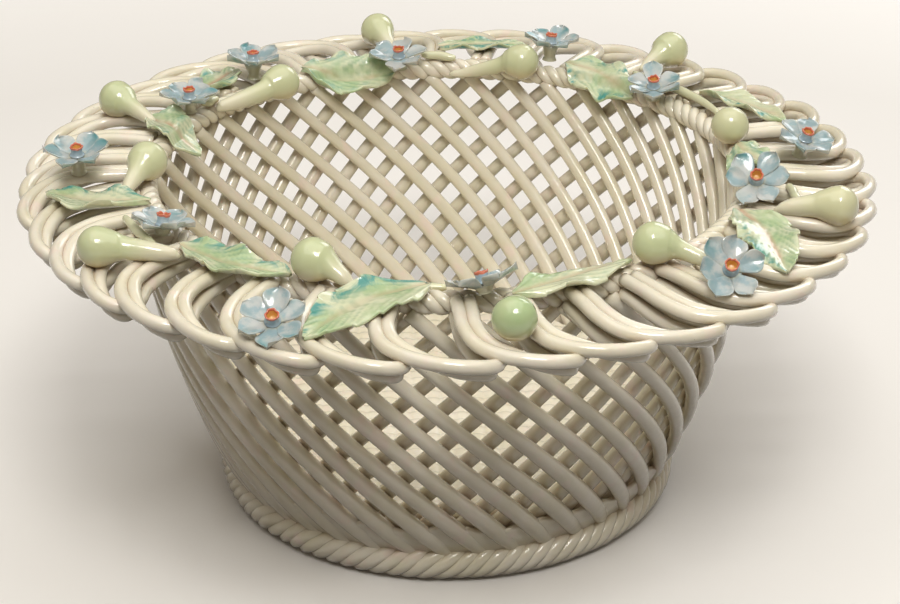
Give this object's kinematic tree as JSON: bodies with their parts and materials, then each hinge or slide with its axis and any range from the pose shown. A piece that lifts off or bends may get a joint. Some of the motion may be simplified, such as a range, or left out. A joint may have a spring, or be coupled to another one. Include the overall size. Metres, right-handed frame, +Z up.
{
  "type": "reticulated porcelain basket",
  "caption": "Round openwork porcelain basket with a two-layer lattice wall, a foot of fine strands, a rope mouth, a wide looped rim and applied buds, flowers and leaves.",
  "frame": {"origin": "bottom centre of the foot, on the axis of the bowl", "axes": "+Z up along the axis of the bowl, -Y towards the viewer of the picture, +X to the viewer's right"},
  "size_m": [0.1996, 0.2, 0.0934],
  "materials": {
    "glazed_body": "glossy cream glaze that darkens to warm brown in the crevices",
    "glazed_bud": "glossy glaze, pale yellow-green on the ball and cream on the stem",
    "glazed_leaf": "glossy green glaze with teal patches and a brownish midrib",
    "glazed_petal": "thin glossy pale blue-grey glaze with teal touches",
    "glazed_coral": "glossy coral edge with a yellow inside"
  },
  "bodies": {
    "root": {"floor": "glazed_body", "foot_ring": "glazed_body", "lattice_inner": "glazed_body", "lattice_outer": "glazed_body", "mouth_rope": "glazed_body", "rim_loops": "glazed_body", "bud_01": "glazed_bud", "bud_02": "glazed_bud", "bud_03": "glazed_bud", "bud_04": "glazed_bud", "bud_05": "glazed_bud", "bud_06": "glazed_bud", "bud_07": "glazed_bud", "bud_08": "glazed_bud", "bud_09": "glazed_bud", "bud_10": "glazed_bud", "bud_11": "glazed_bud", "bud_12": "glazed_bud", "twig_01": "glazed_bud", "twig_02": "glazed_bud", "twig_03": "glazed_bud", "twig_04": "glazed_bud", "twig_05": "glazed_bud", "twig_06": "glazed_bud", "leaf_01": "glazed_leaf", "leaf_02": "glazed_leaf", "leaf_03": "glazed_leaf", "leaf_04": "glazed_leaf", "leaf_05": "glazed_leaf", "leaf_06": "glazed_leaf", "leaf_07": "glazed_leaf", "leaf_08": "glazed_leaf", "leaf_09": "glazed_leaf", "leaf_10": "glazed_leaf", "leaf_11": "glazed_leaf", "leaf_12": "glazed_leaf", "flower_01": "glazed_petal", "flower_centre_01": "glazed_coral", "flower_02": "glazed_petal", "flower_centre_02": "glazed_coral", "flower_03": "glazed_petal", "flower_centre_03": "glazed_coral", "flower_04": "glazed_petal", "flower_centre_04": "glazed_coral", "flower_05": "glazed_petal", "flower_centre_05": "glazed_coral", "flower_06": "glazed_petal", "flower_centre_06": "glazed_coral", "flower_07": "glazed_petal", "flower_centre_07": "glazed_coral", "flower_08": "glazed_petal", "flower_centre_08": "glazed_coral", "flower_09": "glazed_petal", "flower_centre_09": "glazed_coral", "flower_10": "glazed_petal", "flower_centre_10": "glazed_coral", "flower_11": "glazed_petal", "flower_centre_11": "glazed_coral", "flower_12": "glazed_petal", "flower_centre_12": "glazed_coral"}
  },
  "joints": []
}
